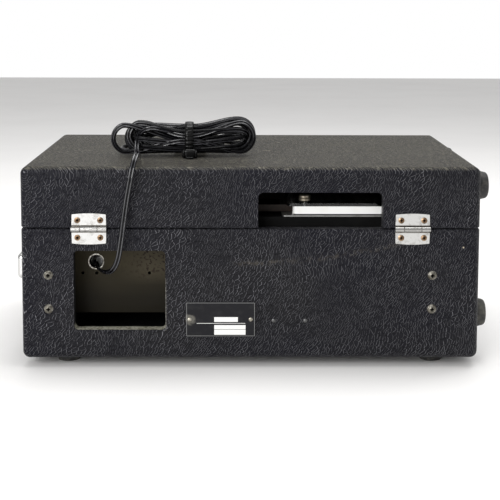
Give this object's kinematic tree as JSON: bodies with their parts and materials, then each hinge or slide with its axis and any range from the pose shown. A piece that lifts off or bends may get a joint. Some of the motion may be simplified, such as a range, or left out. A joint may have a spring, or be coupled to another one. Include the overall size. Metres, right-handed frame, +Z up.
{
  "type": "tape echo unit",
  "caption": "Tape echo unit in a black covered case with a hinged lid, tape transport, knob panel, strap handle and a tied mains cord.",
  "frame": {"origin": "middle of the unit's footprint, on the surface that it stands on", "axes": "+Z up; the control panel faces -Y; the hinges and the cord are at +Y; +X runs along the panel, to the right as its user sees it"},
  "size_m": [0.436, 0.2838, 0.2212],
  "materials": {
    "vinyl": "black grained leatherette over wood",
    "chassis_metal": "dull olive-grey sheet steel",
    "panel_metal": "satin black",
    "chrome": "polished plate",
    "nickel": "aged nickel",
    "brass": "aged brass",
    "plate_black": "etched black plate, bare",
    "aluminium": "satin",
    "steel": "ground",
    "rubber": "black",
    "white_plastic": "white",
    "clear_plastic": "clear",
    "black_plastic": "black moulded",
    "tape": "dark brown oxide",
    "board": "circuit board",
    "cord_jacket": "glossy black",
    "lamp": "red lens"
  },
  "bodies": {
    "cabinet": {"base_cabinet": "vinyl", "chassis": "chassis_metal", "front_panel": "panel_metal", "deck_plate": "panel_metal", "bottom_feet": "rubber", "base_side_feet": "rubber", "hinge_base_leaves": "chrome", "hinge_pins": "steel", "hinge_base_screws": "brass", "data_plate": "plate_black", "rear_rivets": "nickel", "chassis_screws": "nickel", "cord_grommet": "nickel", "handle_strap": "rubber", "handle_caps": "chrome", "tank_plate": "aluminium", "tape_tank": "white_plastic", "tank_cover": "clear_plastic", "cover_screws": "aluminium", "head_plate": "aluminium", "tape_heads": "chrome", "tape_loop": "tape", "flywheel_bridge": "steel", "drive_belt": "rubber", "motor": "steel", "power_transformer": "steel", "main_board": "board", "reverb_pan": "chassis_metal", "potentiometers": "nickel", "selector_switch": "nickel", "jack_sockets": "nickel", "switch_bodies": "nickel", "meter_case": "black_plastic", "meter_glass": "clear_plastic", "panel_lamps": "lamp", "cord_riser": "cord_jacket"},
    "lid": {"lid_shell": "vinyl", "lid_side_feet": "rubber", "hinge_lid_leaves": "chrome", "hinge_lid_screws": "brass", "cord_hank": "cord_jacket", "cord_tie": "black_plastic", "mains_plug": "black_plastic"},
    "capstan": {"capstan": "steel"},
    "motor_pulley": {"motor_pulley": "brass"},
    "pinch_arm": {"pinch_arm": "steel"},
    "pinch_roller": {"pinch_roller": "rubber"},
    "tension_arm": {"tension_arm": "steel"},
    "power_toggle": {"power_toggle": "chrome"},
    "level_slider": {"level_slider": "black_plastic"},
    "meter_needle": {"meter_needle": "lamp"},
    "mode_knob": {"mode_knob": "black_plastic"},
    "knob_input": {"knob_input": "black_plastic"},
    "knob_bass": {"knob_bass": "black_plastic"},
    "knob_treble": {"knob_treble": "black_plastic"},
    "knob_reverb": {"knob_reverb": "black_plastic"},
    "knob_repeat_rate": {"knob_repeat_rate": "black_plastic"},
    "knob_intensity": {"knob_intensity": "black_plastic"},
    "knob_echo": {"knob_echo": "black_plastic"}
  },
  "joints": [
    {"name": "lid_hinge", "type": "hinge", "parent": "cabinet", "child": "lid", "pos_m": [0, 0.13515, 0.1276], "axis": [-1, 0, 0], "range_deg": [0, 100], "deforming": ["cord_riser"]},
    {"name": "knob_input_turn", "type": "hinge", "parent": "cabinet", "child": "knob_input", "pos_m": [-0.15, -0.11975, 0.098], "axis": [0, 1, 0], "range_deg": [0, 300]},
    {"name": "knob_bass_turn", "type": "hinge", "parent": "cabinet", "child": "knob_bass", "pos_m": [0.062, -0.11975, 0.098], "axis": [0, 1, 0], "range_deg": [0, 300]},
    {"name": "knob_treble_turn", "type": "hinge", "parent": "cabinet", "child": "knob_treble", "pos_m": [0.1, -0.11975, 0.098], "axis": [0, 1, 0], "range_deg": [0, 300]},
    {"name": "knob_reverb_turn", "type": "hinge", "parent": "cabinet", "child": "knob_reverb", "pos_m": [0.138, -0.11975, 0.098], "axis": [0, 1, 0], "range_deg": [0, 300]},
    {"name": "knob_repeat_rate_turn", "type": "hinge", "parent": "cabinet", "child": "knob_repeat_rate", "pos_m": [0.062, -0.11975, 0.055], "axis": [0, 1, 0], "range_deg": [0, 300]},
    {"name": "knob_intensity_turn", "type": "hinge", "parent": "cabinet", "child": "knob_intensity", "pos_m": [0.1, -0.11975, 0.055], "axis": [0, 1, 0], "range_deg": [0, 300]},
    {"name": "knob_echo_turn", "type": "hinge", "parent": "cabinet", "child": "knob_echo", "pos_m": [0.138, -0.11975, 0.055], "axis": [0, 1, 0], "range_deg": [0, 300]},
    {"name": "mode_knob_turn", "type": "hinge", "parent": "cabinet", "child": "mode_knob", "pos_m": [0, -0.11975, 0.08], "axis": [0, 1, 0], "range_deg": [0, 330]},
    {"name": "meter_needle_swing", "type": "hinge", "parent": "cabinet", "child": "meter_needle", "pos_m": [-0.076, -0.10975, 0.081], "axis": [0, 1, 0], "range_deg": [0, 90], "stiffness_Nm_per_rad": 0.00005},
    {"name": "power_toggle_tip", "type": "hinge", "parent": "cabinet", "child": "power_toggle", "pos_m": [0.174, -0.11775, 0.098], "axis": [-1, 0, 0], "range_deg": [0, 24]},
    {"name": "level_slider_slide", "type": "slide", "parent": "cabinet", "child": "level_slider", "axis": [1, 0, 0], "range_m": [-0.004, 0.004]},
    {"name": "capstan_turn", "type": "hinge", "parent": "cabinet", "child": "capstan", "pos_m": [0, 0.0202, 0.1342], "axis": [0, 0, 1], "continuous": true},
    {"name": "motor_turn", "type": "hinge", "parent": "cabinet", "child": "motor_pulley", "pos_m": [0.088, -0.05075, 0.0962], "axis": [0, 0, 1], "continuous": true},
    {"name": "pinch_arm_swing", "type": "hinge", "parent": "cabinet", "child": "pinch_arm", "pos_m": [0.024, -0.0092, 0.1342], "axis": [0, 0, 1], "range_deg": [0, 14]},
    {"name": "pinch_roller_turn", "type": "hinge", "parent": "pinch_arm", "child": "pinch_roller", "pos_m": [0, 0.0088, 0.1373], "axis": [0, 0, 1], "continuous": true},
    {"name": "tension_arm_swing", "type": "hinge", "parent": "cabinet", "child": "tension_arm", "pos_m": [0.06, 0.06325, 0.1342], "axis": [0, 0, -1], "range_deg": [0, 12], "stiffness_Nm_per_rad": 0.002}
  ],
  "couplings": [
    {"joint": "motor_turn", "follows": "capstan_turn", "ratio": 5},
    {"joint": "pinch_roller_turn", "follows": "capstan_turn", "ratio": -0.3125}
  ]
}
